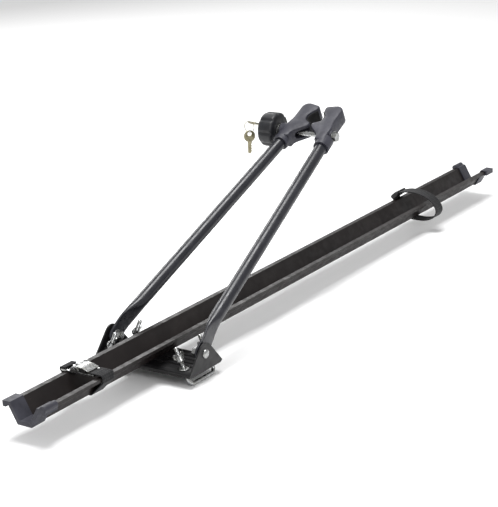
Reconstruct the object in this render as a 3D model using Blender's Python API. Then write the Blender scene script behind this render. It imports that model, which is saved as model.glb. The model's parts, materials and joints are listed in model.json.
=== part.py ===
"""An upright bicycle carrier for a car's roof bar.

+X runs along the wheel tray to its far end, +Y is the far side and +Z is up. The origin is the middle
of the rubber pad's underside, where the base sits on the roof bar. Everything is in metres.
"""

from math import asin, atan2, copysign, cos, pi, radians, sin, sqrt

import bmesh
import bpy
from mathutils import Matrix, Vector

GAP = 0.0003  # between pieces that touch
PLAY = 0.0006  # between a hole and the bolt in it

# Wheel tray
TRAY_LENGTH = 1.300
TRAY_BEHIND = 0.288  # from the base's middle to the tray's near end
TRAY_FLOOR = 0.021
TRAY_FLARE = 0.0135  # how far each wall leans out
TRAY_DEPTH = 0.0255
TRAY_LIP = 0.007
TRAY_HEM = 0.003  # how far each lip turns down
TRAY_SHEET = 0.0015

# End caps
CAP_LENGTH = 0.025
CAP_WALL = 0.0016
CAP_ROLL = 0.0052  # radius of the roll along one lip
CAP_ROLL_RISE = 0.0018  # from the lip's underside to the roll's middle
CAP_ROLL_INSET = 0.0004  # from each end of the cap to the roll's end
CAP_STOP = 0.0012
CAP_PLAY = 0.0006  # under the tray, so that the cap slips on

# Base bracket and its rubber pad
BASE_LENGTH = 0.078
BASE_SHEET = 0.002
BASE_DEPTH = 0.0087
BASE_BEND = 0.005
RIB_COUNT = 4
RIB_HEIGHT = 0.002
RIB_WIDTH = 0.0055
RIB_PITCH = 0.0115
PAD_PROUD = 0.0015  # how far the pad stands below the bracket
PAD_WIDTH = 0.146
TRAY_BOLT = 0.005
TRAY_BOLT_HEAD = 0.012
TRAY_BOLT_HEAD_HEIGHT = 0.0028
TRAY_NUT = 0.008
TRAY_NUT_HEIGHT = 0.004
PAD_POCKET = 0.014
PAD_CLEAR = 0.002  # from the U-bolts' slots to the pad
EAR_FACE = 0.082  # from the middle to an ear's outer face
EAR_SHEET = 0.0025
EAR_FOOT = 0.080
EAR_TOP_RADIUS = 0.0155
PIVOT_HEIGHT = 0.026

# Pivot bolts
PIVOT_BOLT = 0.008
PIVOT_HEAD = 0.0135
PIVOT_HEAD_HEIGHT = 0.0032
BUSH_LENGTH = 0.003
BUSH_DIAMETER = 0.016
PIVOT_WASHER = 0.017
PIVOT_NUT = 0.013
PIVOT_NUT_HEIGHT = 0.0065
ARM_SWAY_ROOM = 0.0008  # lets the flattened end tilt as the arms spread

# Arms
ARM_TUBE = 0.019
ARM_WALL = 0.0015
ARM_SIDES = 24
ARM_FLAT = 0.004
ARM_FLAT_WIDTH = 0.026
ARM_KNEE = Vector((0.042, 0.067, 0.0555))
ARM_KNEE_ROUND = 0.014
ARM_PARALLEL = 0.022  # from the pivot: where the arm leaves the ear's plane
ARM_ROUND_FROM = 0.030  # from the pivot: where the flattened end starts to open out
ARM_ROUND_AT = 0.066

# Clamp
CLAMP = Vector((0.420, 0.0346, 0.2345))  # where the arm's axis meets the clamp bolt
CLAMP_BOLT = 0.008
CLAMP_HEAD = 0.013
CLAMP_WASHER = 0.017
JAW_HEIGHT = 0.026
JAW_SLEEVE = 0.0032  # sleeve wall round the tube
JAW_SLEEVE_LENGTH = 0.030
JAW_BEVEL = 0.003
JAW_LINING = 0.002
JAW_SIDE = 0.0055  # from the arm's axis to the body's outer side
JAW_SEAT = 0.0035  # how far the near jaw's seat for the bolt stands out
JAW_BOSS = 0.0012  # how far the far jaw's boss stands out from the sleeve
JAW_BOSS_DIAMETER = 0.025
SLEEVE_CLEAR = 0.002  # from the bolt's washer to the sleeve
JAW_GAP = 0.002  # half the gap between the bosses
JAW_TIP_GAP = 0.0055  # half the gap between the tips
JAW_HOLLOW = 0.015  # half the hollow's width
CLAMP_HEAD_HEIGHT = 0.0055
ARM_END_CLEAR = 0.009  # from the clamp bolt to a tube's end
JAW_SLOT = 0.003  # how far the far jaw's hole is longer each way, for the arm's swing

# Knob and lock
KNOB_DIAMETER = 0.056
KNOB_LENGTH = 0.026
KNOB_LOBES = 8
KNOB_GROOVE = 0.0016
KNOB_STANDOFF = 0.004  # from the jaw to the knob's washer
KNOB_WASHER = 0.0016
KNOB_WASHER_DIAMETER = 0.022
SLEEVE_NUT = 0.013
SLEEVE_NUT_IN_KNOB = 0.012
SLEEVE_NUT_IN_JAW = 0.020
LOCK_OFFSET = 0.006
LOCK_DIAMETER = 0.010
LOCK_PROUD = 0.004
LOCK_DEPTH = 0.008
LOCK_TURN = radians(25)  # how the keyway stands in the knob
KEY_BOW = 0.019
KEY_BLADE_LENGTH = 0.0195
KEY_BLADE_WIDTH = 0.0065
KEY_SHEET = 0.002
KEY_HOLE = 0.0074
KEY_RIM = 0.002
KEY_IN_LOCK = 0.0105
SPARE_FACING = radians(-38)
RING_RADIUS = 0.0090
RING_WIRE = 0.0012
RING_DROP = 0.0068  # from the key to the ring's middle

# U-bolts
STUD = 0.006
STUD_SPACING = 0.058
STUD_HEIGHT = 0.056  # from the bar's centre to a leg's tip
STUD_BEND = 0.007
STUD_LEAN = radians(25)
STUD_PLAY = 0.0012
STUD_AT = 0.0655  # from the middle to a leg, at the bracket's top
NEAR_STUD_TIP = 0.0395  # heights of the legs' tips
FAR_STUD_TIP = 0.0430
NUT_ABOVE = 0.012  # from the bracket's top to a wing nut's underside
WING_SPAN = 0.022
WASHER = 0.015
WASHER_SHEET = 0.0012
WING_HUB = 0.011
WING_HUB_HEIGHT = 0.008
WING_HEIGHT = 0.012
WING_SHEET = 0.002

# Straps
WEBBING = 0.025
WEBBING_SHEET = 0.002
NEAR_STRAP_X = -0.155
FAR_STRAP_X = 0.766
BUCKLE_LENGTH = 0.056
BUCKLE_WIDTH = 0.0285
BUCKLE_SHIFT = 0.009  # from the tray's middle to the buckle's middle
BUCKLE_SHEET = 0.002
BUCKLE_TAIL = 0.007  # how far the webbing runs in over each end of the buckle
BUCKLE_CLEAR = 0.0008  # from the tray's lips to the buckle
BUCKLE_PIN_Y = 0.004  # from the buckle's middle to its pin
BUCKLE_PIN_RISE = 0.0055
BUCKLE_PIN_RADIUS = 0.0015

# Worked out from the dimensions above
TRAY_BOLTS_X = (-RIB_PITCH, RIB_PITCH)
TRAY_BOTTOM = PAD_PROUD + BASE_DEPTH + RIB_HEIGHT + GAP
TRAY_TOP = TRAY_BOTTOM + TRAY_DEPTH
BASE_TOP = PAD_PROUD + BASE_DEPTH
EAR_INSIDE = EAR_FACE - EAR_SHEET
ARM_MIDDLE = EAR_INSIDE - BUSH_LENGTH - ARM_SWAY_ROOM - ARM_FLAT / 2
PIVOT = Vector((0, ARM_MIDDLE, PIVOT_HEIGHT))
ARM_SLOPE = atan2(CLAMP.z - ARM_KNEE.z, CLAMP.x - ARM_KNEE.x)
TOE_IN = atan2(ARM_KNEE.y - CLAMP.y, (CLAMP - ARM_KNEE).xz.length)
SLEEVE_RADIUS = ARM_TUBE / 2 + JAW_SLEEVE
JAW_BODY = CLAMP.y + JAW_SIDE
NEAR_SEAT = JAW_BODY + JAW_SEAT
FAR_SEAT = CLAMP.y + SLEEVE_RADIUS + JAW_BOSS
KNOB_FACE = FAR_SEAT + KNOB_STANDOFF


def clear_scene():
    for obj in list(bpy.data.objects):
        bpy.data.objects.remove(obj)


def finish_of(name, colour, roughness, metallic):
    """A Principled material for one piece."""
    material = bpy.data.materials.new(name)
    material.use_nodes = True
    shader = material.node_tree.nodes["Principled BSDF"]
    shader.inputs["Base Color"].default_value = (*colour, 1)
    shader.inputs["Roughness"].default_value = roughness
    shader.inputs["Metallic"].default_value = metallic
    return material


BLACK_PAINT = ((0.020, 0.018, 0.018), 0.42, 0.0)
ARM_PAINT = ((0.028, 0.029, 0.037), 0.35, 0.0)
SLATE_PLASTIC = ((0.085, 0.085, 0.105), 0.55, 0.0)
BLACK_PLASTIC = ((0.022, 0.024, 0.028), 0.50, 0.0)
RUBBER = ((0.018, 0.018, 0.018), 0.85, 0.0)
ZINC = ((0.62, 0.63, 0.62), 0.35, 1.0)
BRASS = ((0.52, 0.47, 0.32), 0.35, 1.0)
WEB = ((0.016, 0.016, 0.020), 0.90, 0.0)


def add(name, verts, faces, finish):
    """One named object from world-space points, with its normals facing out."""
    mesh = bpy.data.meshes.new(name)
    mesh.from_pydata([tuple(point) for point in verts], [], faces)
    work = bmesh.new()
    work.from_mesh(mesh)
    bmesh.ops.recalc_face_normals(work, faces=work.faces)
    work.to_mesh(mesh)
    work.free()
    mesh.shade_smooth()
    mesh.set_sharp_from_angle(angle=radians(32))
    mesh.materials.append(finish_of(name, *finish))
    obj = bpy.data.objects.new(name, mesh)
    bpy.context.scene.collection.objects.link(obj)
    return obj


def loft(name, rings, finish, closed=False):
    """Skins rings that have the same number of points; open lofts get an end face each."""
    count = len(rings[0])
    verts = [point for ring in rings for point in ring]
    faces = []
    for i in range(len(rings) if closed else len(rings) - 1):
        this = i * count
        following = (i + 1) % len(rings) * count
        for j in range(count):
            k = (j + 1) % count
            faces.append((this + j, this + k, following + k, following + j))
    if not closed:
        faces.append(tuple(range(count)))
        faces.append(tuple(range(len(verts) - count, len(verts))))
    return add(name, verts, faces, finish)


def prism(name, outline, along, low, high, finish):
    """Extrudes a flat outline between two planes square to X, Y or Z."""
    place = {
        "X": lambda a, b, t: (t, a, b),
        "Y": lambda a, b, t: (a, t, b),
        "Z": lambda a, b, t: (a, b, t),
    }[along]
    rings = [[Vector(place(a, b, t)) for a, b in outline] for t in (low, high)]
    return loft(name, rings, finish)


def across(axis):
    """Two directions square to an axis and to each other."""
    axis = axis.normalized()
    other = Vector((0, 0, 1)) if abs(axis.z) < 0.9 else Vector((1, 0, 0))
    first = axis.cross(other).normalized()
    return first, axis.cross(first)


def turned(name, start, axis, profile, finish, sides=24):
    """A solid of revolution: profile lists (distance along the axis, radius)."""
    axis = axis.normalized()
    first, second = across(axis)
    rings = []
    for distance, radius in profile:
        centre = start + axis * distance
        turn = [2 * pi * i / sides for i in range(sides)]
        rings.append([centre + radius * (first * cos(a) + second * sin(a)) for a in turn])
    return loft(name, rings, finish)


def rod(name, start, end, radius, finish, sides=24):
    return turned(name, start, end - start, [(0, radius), ((end - start).length, radius)], finish, sides)


def collar(name, start, axis, inner, outer, length, finish, sides=24):
    """A washer or a bush, by turning a rectangle round an axis."""
    axis = axis.normalized()
    first, second = across(axis)
    rings = []
    for i in range(sides):
        out = first * cos(2 * pi * i / sides) + second * sin(2 * pi * i / sides)
        corners = [(inner, 0), (outer, 0), (outer, length), (inner, length)]
        rings.append([start + out * radius + axis * along for radius, along in corners])
    return loft(name, rings, finish, closed=True)


def swept(name, path, section, finish, closed=False, flat=None):
    """Sweeps a section (pairs of sizes) along a path; flat is the direction the first size lies in."""
    rings = []
    last = len(path) - 1
    first = None
    for i, point in enumerate(path):
        if closed:
            ahead = path[(i + 1) % len(path)] - path[i - 1]
        else:
            ahead = path[min(i + 1, last)] - path[max(i - 1, 0)]
        ahead.normalize()
        if flat is not None:
            first = flat
        elif first is None:
            first = across(ahead)[0]
        first = (first - ahead * first.dot(ahead)).normalized()
        second = ahead.cross(first)
        rings.append([point + first * a + second * b for a, b in section])
    return loft(name, rings, finish, closed)


def hexagon_nut(name, start, axis, flats, height, bolt, finish):
    corner = flats / 2 / cos(pi / 6)
    nut = turned(name, start, axis, [(0, corner), (height, corner)], finish, 6)
    axis = axis.normalized()
    thread = rod("thread", start - axis * height, start + axis * height * 2, bolt / 2 + GAP, finish, 20)
    cut(nut, thread)
    return nut


def circle(radius, sides):
    return [(radius * cos(2 * pi * i / sides), radius * sin(2 * pi * i / sides)) for i in range(sides)]


def rectangle(width, height):
    across, up = width / 2, height / 2
    return [(-across, -up), (across, -up), (across, up), (-across, up)]


def rounded(points, radius, steps=4):
    """A closed outline with its corners rounded; a radius of 0 keeps a corner."""
    radii = radius if isinstance(radius, (list, tuple)) else [radius] * len(points)
    smooth = []
    for i, corner in enumerate(points):
        corner = Vector(corner)
        before = Vector(points[i - 1]) - corner
        after = Vector(points[(i + 1) % len(points)]) - corner
        size = min(radii[i], before.length * 0.49, after.length * 0.49)
        if size <= 0:
            smooth.append(tuple(corner))
            continue
        start = corner + before.normalized() * size
        end = corner + after.normalized() * size
        for j in range(steps + 1):
            t = j / steps
            smooth.append(tuple((1 - t) ** 2 * start + 2 * t * (1 - t) * corner + t * t * end))
    return smooth


def sheet(path, thickness):
    """The closed outline of a bent sheet: path is its lower or outer face, the sheet lies to its left."""
    inner = []
    points = [Vector(p) for p in path]
    for i, point in enumerate(points):
        normals = []
        if i > 0:
            step = (point - points[i - 1]).normalized()
            normals.append(Vector((-step.y, step.x)))
        if i < len(points) - 1:
            step = (points[i + 1] - point).normalized()
            normals.append(Vector((-step.y, step.x)))
        mean = sum(normals, Vector((0, 0))).normalized()
        inner.append(tuple(point + mean * thickness / mean.dot(normals[0])))
    return [tuple(p) for p in points] + inner[::-1]


def boolean(target, tool, operation="DIFFERENCE"):
    """Cuts a tool from a piece, or joins it on, and hides the tool."""
    modifier = target.modifiers.new(operation.title(), "BOOLEAN")
    modifier.operation = operation
    modifier.object = tool
    tool.hide_render = True
    tool.display_type = "WIRE"


def cut(target, *tools):
    for tool in tools:
        boolean(target, tool)


def join(target, *tools):
    for tool in tools:
        boolean(target, tool, "UNION")


def place(obj, matrix):
    """Moves a piece that was built at the origin, so that its origin lands on its joint or seat."""
    obj.matrix_world = matrix
    return obj


def pivot_at(name, point, pieces):
    """An empty on a joint's axis: the parent of the pieces that move there, and of their cutters."""
    empty = bpy.data.objects.new(name, None)
    empty.location = point
    bpy.context.scene.collection.objects.link(empty)
    for piece in pieces:
        for obj in [piece, *(modifier.object for modifier in piece.modifiers)]:
            obj.parent = empty
            obj.matrix_parent_inverse = Matrix.Translation(-point)
    return empty


def tray_path(grow=0.0):
    """The tray's outer face from the near lip to the far lip, with the sheet above and inside it."""
    floor = TRAY_FLOOR / 2
    wall = floor + TRAY_FLARE
    edge = wall + TRAY_LIP + grow
    right = [
        (floor, TRAY_BOTTOM),
        (wall, TRAY_TOP - TRAY_SHEET),
        (edge - TRAY_SHEET, TRAY_TOP - TRAY_SHEET),
        (edge - TRAY_SHEET, TRAY_TOP - TRAY_SHEET - TRAY_HEM - grow),
    ]
    return [(-y, z) for y, z in reversed(right)] + right


def thickened(path, under, over):
    """The outline of a sheet that reaches below a path by one amount and above it by another."""
    lower = sheet(path, -under)[len(path):][::-1]
    return lower + sheet(path, over)[len(path):]


def make_tray():
    outline = sheet(tray_path(), TRAY_SHEET)
    tray = prism("wheel_tray", outline, "X", -TRAY_BEHIND, TRAY_LENGTH - TRAY_BEHIND, BLACK_PAINT)
    for x in TRAY_BOLTS_X:
        start = Vector((x, 0, TRAY_BOTTOM - 0.002))
        end = Vector((x, 0, TRAY_BOTTOM + TRAY_SHEET + 0.002))
        cut(tray, rod("tray_hole", start, end, TRAY_BOLT / 2 + PLAY / 2, BLACK_PAINT))


def make_end_cap(name, end, inward, rolled):
    """A trim that slips over an open end of the tray, with a roll along one of its lips."""
    low, high = sorted((end + inward * CAP_LENGTH, end - inward * CAP_STOP))
    skin = CAP_WALL + GAP
    cap = prism(name, thickened(tray_path(skin), skin, TRAY_SHEET + skin), "X", low, high, SLATE_PLASTIC)
    edge = TRAY_FLOOR / 2 + TRAY_FLARE + TRAY_LIP
    rise = TRAY_TOP - TRAY_SHEET + CAP_ROLL_RISE
    start, stop = (Vector((x, rolled * edge, rise)) for x in (low + CAP_ROLL_INSET, high - CAP_ROLL_INSET))
    join(cap, rod("roll", start, stop, CAP_ROLL, SLATE_PLASTIC, 16))
    slot = thickened(tray_path(GAP), CAP_PLAY, TRAY_SHEET + GAP)
    beyond = end + inward * (CAP_LENGTH + 0.01)
    stop = end - inward * GAP
    cut(cap, prism("slot", slot, "X", min(stop, beyond), max(stop, beyond), SLATE_PLASTIC))


def base_path():
    """Half of the bracket's underside in X and Z, from the flange's foot to the middle."""
    edge = BASE_LENGTH / 2 - BASE_SHEET
    roof = BASE_TOP - BASE_SHEET
    corner = [
        (edge - BASE_BEND * (1 - cos(a)), roof - BASE_BEND * (1 - sin(a)))
        for a in (0, pi / 8, pi / 4, 3 * pi / 8, pi / 2)
    ]
    path = [(edge, PAD_PROUD)] + corner
    slope = RIB_HEIGHT * 0.6
    for i in range(RIB_COUNT):
        middle = RIB_PITCH * ((RIB_COUNT - 1) / 2 - i)
        half = RIB_WIDTH / 2
        path.append((middle + half, roof))
        path.append((middle + half - slope, roof + RIB_HEIGHT))
        path.append((middle - half + slope, roof + RIB_HEIGHT))
        path.append((middle - half, roof))
    return path + [(-x, z) for x, z in reversed([(edge, PAD_PROUD)] + corner)]


def ear_outline():
    foot = EAR_FOOT / 2
    top = []
    reach = sqrt(foot**2 + (PIVOT_HEIGHT - PAD_PROUD) ** 2)
    lean = atan2(PIVOT_HEIGHT - PAD_PROUD, foot) + asin(EAR_TOP_RADIUS / reach)
    for i in range(9):
        turn = (pi / 2 - lean) + 2 * lean * i / 8
        top.append((EAR_TOP_RADIUS * cos(turn), PIVOT_HEIGHT + EAR_TOP_RADIUS * sin(turn)))
    return [(-foot + 0.004, PAD_PROUD), (foot - 0.004, PAD_PROUD), (foot, PAD_PROUD + 0.003)] + top + [
        (-foot, PAD_PROUD + 0.003)
    ]


def make_base():
    plate_end = EAR_INSIDE + EAR_SHEET / 2
    bracket = prism("base_bracket", sheet(base_path(), -BASE_SHEET), "Y", -plate_end, plate_end, BLACK_PAINT)
    for side in (-1, 1):
        low, high = sorted((side * EAR_INSIDE, side * EAR_FACE))
        join(bracket, prism("ear", ear_outline(), "Y", low, high, BLACK_PAINT))
    for side in (-1, 1):
        hole = Vector((0, side * (EAR_INSIDE - 0.01), PIVOT_HEIGHT))
        end = Vector((0, side * (EAR_FACE + 0.01), PIVOT_HEIGHT))
        cut(bracket, rod("ear_hole", hole, end, PIVOT_BOLT / 2 + PLAY / 2, BLACK_PAINT))
    for x in TRAY_BOLTS_X:
        start, stop = (Vector((x, 0, z)) for z in (PAD_PROUD, PAD_PROUD + 0.03))
        cut(bracket, rod("bolt_hole", start, stop, TRAY_BOLT / 2 + PLAY / 2, BLACK_PAINT))
    for side in (-1, 1):
        for x in (-STUD_SPACING / 2, STUD_SPACING / 2):
            cut(bracket, stud_slot("stud_slot", x, side, PAD_PROUD + 0.002, BASE_TOP + 0.01))


def stud_slot(name, x, side, low, high):
    """A slot across the bracket that a leaning U-bolt leg passes with play."""
    shift = (BASE_DEPTH / 2) * sin(STUD_LEAN) / cos(STUD_LEAN)
    half = (STUD / 2 + STUD_PLAY) / cos(STUD_LEAN) + shift
    wide = STUD / 2 + STUD_PLAY
    centre = side * (STUD_AT + shift / 2)
    outline = rounded([(x - wide, centre - half), (x + wide, centre - half),
                       (x + wide, centre + half), (x - wide, centre + half)], wide)
    return prism(name, outline, "Z", low, high, BLACK_PAINT)


def make_pad():
    """The rubber block under the bracket; it stands a little proud, so that it grips the roof bar."""
    half = STUD_SPACING / 2 - STUD / 2 - STUD_PLAY - PAD_CLEAR
    top = BASE_TOP - BASE_SHEET - GAP
    outline = [(-half, 0), (half, 0), (half, top), (-half, top)]
    pad = prism("bar_pad", rounded(outline, 0.0008, 2), "Y", -PAD_WIDTH / 2, PAD_WIDTH / 2, RUBBER)
    for x in TRAY_BOLTS_X:
        hole = Vector((x, 0, -0.001))
        cut(pad, rod("pocket", hole, hole + Vector((0, 0, 0.03)), PAD_POCKET / 2, RUBBER))


def make_tray_bolts():
    """Two round-headed bolts hold the tray's floor to the bracket."""
    floor = TRAY_BOTTOM + TRAY_SHEET + GAP
    under = BASE_TOP - BASE_SHEET - GAP
    for name, x in zip(("rear", "front"), TRAY_BOLTS_X):
        rise = [
            (TRAY_BOLT_HEAD_HEIGHT * sin(a), TRAY_BOLT_HEAD / 2 * cos(a))
            for a in (0, pi / 8, pi / 4, 3 * pi / 8, 0.47 * pi)
        ]
        shank = TRAY_BOTTOM + TRAY_SHEET + GAP - 0.003
        profile = [(-shank, TRAY_BOLT / 2), (0, TRAY_BOLT / 2)] + rise
        turned(f"{name}_tray_bolt", Vector((x, 0, floor)), Vector((0, 0, 1)), profile, ZINC, 20)
        bottom = Vector((x, 0, under - TRAY_NUT_HEIGHT))
        hexagon_nut(f"{name}_tray_nut", bottom, Vector((0, 0, 1)), TRAY_NUT, TRAY_NUT_HEIGHT, TRAY_BOLT, ZINC)


def make_pivot(name, side):
    """A round-headed bolt through one ear, with the bush, washer and nut that hold the arm on it."""
    inward = Vector((0, -side, 0))
    face = Vector((0, side * (EAR_FACE + GAP), PIVOT_HEIGHT))
    radius = PIVOT_BOLT / 2
    arm_inside = ARM_MIDDLE - ARM_FLAT / 2
    washer_at = arm_inside - ARM_SWAY_ROOM
    nut_at = washer_at - WASHER_SHEET - GAP
    length = EAR_FACE - nut_at + PIVOT_NUT_HEIGHT + 0.002
    dome = [
        (-PIVOT_HEAD_HEIGHT * sin(a), PIVOT_HEAD / 2 * cos(a))
        for a in (0.47 * pi, 3 * pi / 8, pi / 4, pi / 8, 0)
    ]
    turned(f"{name}_pivot_bolt", face, inward, dome + [(0, radius), (length, radius)], ZINC)
    bush = Vector((0, side * (EAR_INSIDE - GAP), PIVOT_HEIGHT))
    collar(f"{name}_pivot_bush", bush, inward, radius + GAP, BUSH_DIAMETER / 2, BUSH_LENGTH, BLACK_PLASTIC)
    washer = Vector((0, side * washer_at, PIVOT_HEIGHT))
    collar(f"{name}_pivot_washer", washer, inward, radius + GAP, PIVOT_WASHER / 2, WASHER_SHEET, ZINC)
    nut = Vector((0, side * nut_at, PIVOT_HEIGHT))
    hexagon_nut(f"{name}_pivot_nut", nut, inward, PIVOT_NUT, PIVOT_NUT_HEIGHT, PIVOT_BOLT, ZINC)


def bend(before, corner, after, size, steps):
    """Points round a corner, from one size before it to one size after it."""
    start = corner + (before - corner).normalized() * size
    stop = corner + (after - corner).normalized() * size
    shares = [i / steps for i in range(steps + 1)]
    return [(1 - t) ** 2 * start + 2 * t * (1 - t) * corner + t * t * stop for t in shares]


def arm_path(side):
    """Points along an arm's middle, from behind the pivot to its end inside the jaw."""
    pivot, knee, clamp = (Vector((p.x, side * p.y, p.z)) for p in (PIVOT, ARM_KNEE, CLAMP))
    lower = Vector((knee.x - pivot.x, 0, knee.z - pivot.z)).normalized()
    shoulder = pivot + lower * ARM_PARALLEL
    upper = (clamp - knee).normalized()
    end = clamp - upper * (CLAMP_BOLT / 2 + ARM_END_CLEAR)
    half = ARM_FLAT_WIDTH / 2
    points = [pivot - lower * half * cos(a) for a in (0, pi / 8, pi / 4, 3 * pi / 8, pi / 2)]
    points += bend(pivot, shoulder, knee, ARM_KNEE_ROUND / 2, 2)
    points += bend(shoulder, knee, clamp, ARM_KNEE_ROUND, 4)
    run = end - points[-1]
    points += [points[-1] + run * share for share in (0.04, 0.5, 1)]
    return points


def arm_section(distance, from_end, shrink):
    """The tube's outline: flattened at the pivot, round further up, and rounded off at its end."""
    blend = min(max((distance - ARM_ROUND_FROM) / (ARM_ROUND_AT - ARM_ROUND_FROM), 0), 1)
    blend = blend * blend * (3 - 2 * blend)
    flat = ARM_FLAT_WIDTH / 2
    if distance < flat and from_end < flat:
        flat = max(sqrt(flat**2 - (flat - from_end) ** 2), flat * 0.15)
    wide = flat + (ARM_TUBE / 2 - ARM_FLAT_WIDTH / 2) * blend - shrink
    thin = ARM_FLAT / 2 + (ARM_TUBE - ARM_FLAT) / 2 * blend - shrink
    power = 0.35 + 0.65 * blend
    section = []
    for i in range(ARM_SIDES):
        turn = 2 * pi * i / ARM_SIDES
        a, b = cos(turn), sin(turn)
        section.append((copysign(thin * abs(a) ** power, a), copysign(wide * abs(b) ** power, b)))
    return section


def arm_skin(name, side, shrink=0.0, hollow=False):
    points = arm_path(side)
    rings = []
    travelled = 0
    for i, point in enumerate(points):
        if i:
            travelled += (point - points[i - 1]).length
        distance = travelled - ARM_FLAT_WIDTH / 2
        if hollow and distance < ARM_ROUND_AT:
            continue
        ahead = (points[min(i + 1, len(points) - 1)] - points[max(i - 1, 0)]).normalized()
        thin = Vector((0, 1, 0))
        thin = (thin - ahead * thin.dot(ahead)).normalized()
        wide = ahead.cross(thin)
        section = arm_section(distance, travelled, shrink)
        rings.append([point + thin * a + wide * b for a, b in section])
    if hollow:
        rings.append([point + ahead * 0.01 for point in rings[-1]])
    return loft(name, rings, ARM_PAINT)


def make_arm(name, side):
    """A tube with a drilled, flattened end at the pivot and an open end in the jaw."""
    arm = arm_skin(f"{name}_arm", side)
    cut(arm, arm_skin("bore", side, ARM_WALL, hollow=True))
    start = Vector((0, side * (ARM_MIDDLE - 0.01), PIVOT_HEIGHT))
    end = Vector((0, side * (ARM_MIDDLE + 0.01), PIVOT_HEIGHT))
    cut(arm, rod("arm_hole", start, end, PIVOT_BOLT / 2 + PLAY, ARM_PAINT))
    return arm


def jaw_frame(side):
    """Local X runs up the arm, local Y points away from the other jaw and local Z squarely up."""
    turn = Matrix.Rotation(-ARM_SLOPE, 4, "Y")
    mirror = Matrix.Diagonal((1, side, 1, 1))
    return Matrix.Translation(Vector((CLAMP.x, 0, CLAMP.z))) @ turn @ mirror


def jaw_outline():
    """A jaw seen squarely from above: sleeve, boss, the hollow for the frame tube, and the hooked tip."""
    inside = CLAMP.y - SLEEVE_RADIUS
    waist = JAW_BODY - JAW_SEAT
    back = -JAW_SLEEVE_LENGTH * 0.75
    points = [
        (back, inside + 0.002),
        (-0.012, inside + 0.001),
        (0.006, JAW_GAP + 0.0005),
    ]
    front = [
        (0.055, JAW_TIP_GAP),
        (0.0605, 0.028),
        (0.054, waist),
        (0.020, waist),
        (0.008, JAW_BODY),
        (back, JAW_BODY),
    ]
    hollow = hollow_path()
    corners = [0, 0.006, 0.004] + [0] * len(hollow) + [0.004, 0.008, 0.012, 0.010, 0.008, 0]
    return rounded(points + hollow + front, corners, 3)


def hollow_path():
    """The jaw's working face, from the boss round the hollow to the tip."""
    points = [
        (0.013, JAW_GAP + 0.0005),
        (0.0205, JAW_HOLLOW),
        (0.034, JAW_HOLLOW),
        (0.046, JAW_TIP_GAP + 0.001),
    ]
    return rounded(points, [0, 0.006, 0.006, 0], 3)


def bevelled_slab(name, outline, low, high, bevel, finish):
    """An extruded outline whose top and bottom edges are rounded."""
    obj = prism(name, outline, "Z", low, high, finish)
    work = bmesh.new()
    work.from_mesh(obj.data)
    flat = [f for f in work.faces if len(f.verts) > 4]
    edges = list({edge for face in flat for edge in face.edges})
    bmesh.ops.bevel(work, geom=edges, offset=bevel, segments=2, affect="EDGES", profile=0.5)
    work.to_mesh(obj.data)
    work.free()
    obj.data.shade_smooth()
    obj.data.set_sharp_from_angle(angle=radians(32))
    return obj


def make_jaw(name, side, hole, slot, seat_at, seat_radius):
    """A moulded jaw: hooked body, sleeve and seat, bored for the tube and slotted for what passes through."""
    low = -JAW_HEIGHT / 2
    body = bevelled_slab(f"{name}_jaw", jaw_outline(), low, -low, JAW_BEVEL, SLATE_PLASTIC)
    axis = Vector((-cos(TOE_IN), sin(TOE_IN), 0))
    meeting = Vector((0, CLAMP.y, 0))
    start = meeting + axis * (CLAMP_WASHER / 2 + SLEEVE_CLEAR)
    sleeve = rod("sleeve", start, meeting + axis * JAW_SLEEVE_LENGTH, SLEEVE_RADIUS, SLATE_PLASTIC)
    tube_end = CLAMP_BOLT / 2 + ARM_END_CLEAR - GAP
    start = meeting + axis * tube_end
    bore = rod("tube_bore", start, start + axis * 0.08, ARM_TUBE / 2 + GAP, SLATE_PLASTIC)
    inner = Vector((0, JAW_BODY - JAW_BEVEL, 0))
    seat = rod("seat", inner, Vector((0, seat_at, 0)), seat_radius, SLATE_PLASTIC)
    join(body, sleeve, seat)
    half = hole / 2 + PLAY
    reach = half + slot
    outline = rounded([(-reach, -half), (reach, -half), (reach, half), (-reach, half)], half)
    passage = prism("bolt_slot", outline, "Y", -0.01, 0.08, SLATE_PLASTIC)
    cut(body, bore, passage)
    for piece in (body, sleeve, seat, bore, passage):
        place(piece, jaw_frame(side))
    return body


def make_jaw_lining(name, side):
    """The rubber lining of a jaw's hollow."""
    face = hollow_path()
    seat = sheet(face, -GAP)[len(face):][::-1]
    half = JAW_HEIGHT / 2 - JAW_BEVEL
    lining = prism(f"{name}_jaw_pad", sheet(seat, -JAW_LINING), "Z", -half, half, RUBBER)
    return place(lining, jaw_frame(side))


def make_clamp_bolt():
    """A hexagon-headed bolt across both jaws, with a washer under its head."""
    head = Vector((CLAMP.x, -NEAR_SEAT - WASHER_SHEET - 2 * GAP, CLAMP.z))
    axis = Vector((0, 1, 0))
    length = -head.y + KNOB_FACE + KNOB_WASHER + SLEEVE_NUT_IN_KNOB
    outer = CLAMP_HEAD / 2 / cos(pi / 6)
    bolt = turned("clamp_bolt", head, axis, [(0, CLAMP_BOLT / 2), (length, CLAMP_BOLT / 2)], ZINC)
    join(bolt, turned("head", head, -axis, [(-0.0001, outer), (CLAMP_HEAD_HEIGHT, outer)], ZINC, 6))
    seat = Vector((CLAMP.x, -NEAR_SEAT - GAP, CLAMP.z))
    washer = collar("clamp_washer", seat, -axis, CLAMP_BOLT / 2 + GAP, CLAMP_WASHER / 2, WASHER_SHEET, ZINC)
    return bolt, washer


def knob_outline(radius):
    """Eight shallow grooves round a circle."""
    steps = KNOB_LOBES * 8
    outline = []
    for i in range(steps):
        turn = 2 * pi * i / steps
        dip = max(0, cos(KNOB_LOBES * turn)) ** 3 * KNOB_GROOVE
        outline.append(((radius - dip) * cos(turn), (radius - dip) * sin(turn)))
    return outline


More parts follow.
